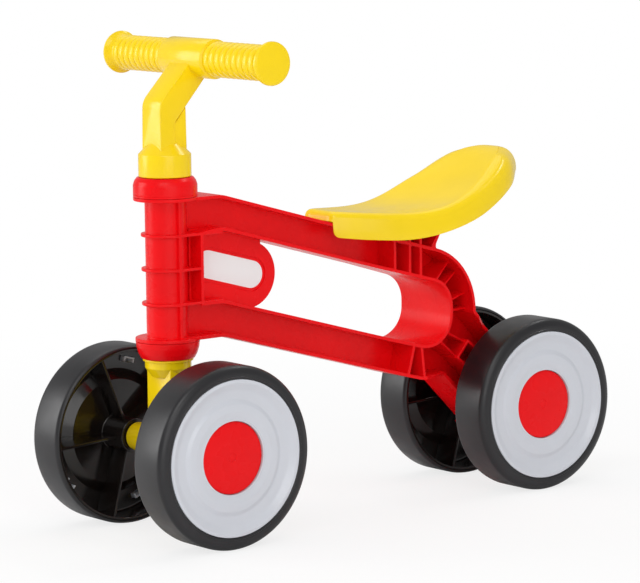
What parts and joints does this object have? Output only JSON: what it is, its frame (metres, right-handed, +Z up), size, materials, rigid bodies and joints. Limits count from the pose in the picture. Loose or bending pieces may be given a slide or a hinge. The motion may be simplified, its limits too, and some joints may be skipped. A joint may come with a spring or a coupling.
{
  "type": "foot-to-floor ride-on toy",
  "caption": "Low four-wheeled foot-to-floor ride-on with a ribbed moulded frame, a dished seat, a turning fork and a handlebar with ribbed grips.",
  "frame": {"origin": "on the floor, midway between the two axles, in the middle plane", "axes": "-Y forwards, +X towards the rider's left, +Z up"},
  "size_m": [0.224, 0.5364, 0.4342],
  "materials": {
    "red_plastic": "semi-gloss moulded",
    "yellow_plastic": "semi-gloss moulded",
    "tyre_rubber": "satin, smooth tread",
    "core_plastic": "gloss black",
    "white_plastic": "semi-gloss moulded",
    "zinc_steel": "zinc plated"
  },
  "bodies": {
    "chassis": {"frame": "red_plastic", "upper_head_bush": "red_plastic", "lower_head_bush": "red_plastic", "seat": "yellow_plastic", "seat_screw_1": "zinc_steel", "seat_screw_2": "zinc_steel", "seat_screw_3": "zinc_steel", "seat_screw_4": "zinc_steel", "rear_axle": "zinc_steel", "rear_left_washer": "zinc_steel", "rear_left_push_nut": "zinc_steel", "rear_right_washer": "zinc_steel", "rear_right_push_nut": "zinc_steel"},
    "steering": {"fork": "yellow_plastic", "handlebar": "yellow_plastic", "handlebar_screw": "zinc_steel", "front_axle": "zinc_steel", "front_left_washer": "zinc_steel", "front_left_push_nut": "zinc_steel", "front_right_washer": "zinc_steel", "front_right_push_nut": "zinc_steel"},
    "front_left_wheel": {"front_left_tyre": "tyre_rubber", "front_left_wheel_core": "core_plastic", "front_left_wheel_disc": "white_plastic", "front_left_hub_cap": "red_plastic"},
    "front_right_wheel": {"front_right_tyre": "tyre_rubber", "front_right_wheel_core": "core_plastic", "front_right_wheel_disc": "white_plastic", "front_right_hub_cap": "red_plastic"},
    "rear_left_wheel": {"rear_left_tyre": "tyre_rubber", "rear_left_wheel_core": "core_plastic", "rear_left_wheel_disc": "white_plastic", "rear_left_hub_cap": "red_plastic"},
    "rear_right_wheel": {"rear_right_tyre": "tyre_rubber", "rear_right_wheel_core": "core_plastic", "rear_right_wheel_disc": "white_plastic", "rear_right_hub_cap": "red_plastic"}
  },
  "joints": [
    {"name": "steering_turn", "type": "hinge", "parent": "chassis", "child": "steering", "pos_m": [0, -0.18825, 0.25], "axis": [0, 0, 1], "range_deg": [-45, 45]},
    {"name": "front_left_wheel_spin", "type": "hinge", "parent": "steering", "child": "front_left_wheel", "pos_m": [0.0775, -0.18825, 0.08], "axis": [1, 0, 0], "continuous": true},
    {"name": "front_right_wheel_spin", "type": "hinge", "parent": "steering", "child": "front_right_wheel", "pos_m": [-0.0775, -0.18825, 0.08], "axis": [1, 0, 0], "continuous": true},
    {"name": "rear_left_wheel_spin", "type": "hinge", "parent": "chassis", "child": "rear_left_wheel", "pos_m": [0.0552, 0.18825, 0.08], "axis": [1, 0, 0], "continuous": true},
    {"name": "rear_right_wheel_spin", "type": "hinge", "parent": "chassis", "child": "rear_right_wheel", "pos_m": [-0.0552, 0.18825, 0.08], "axis": [1, 0, 0], "continuous": true}
  ]
}
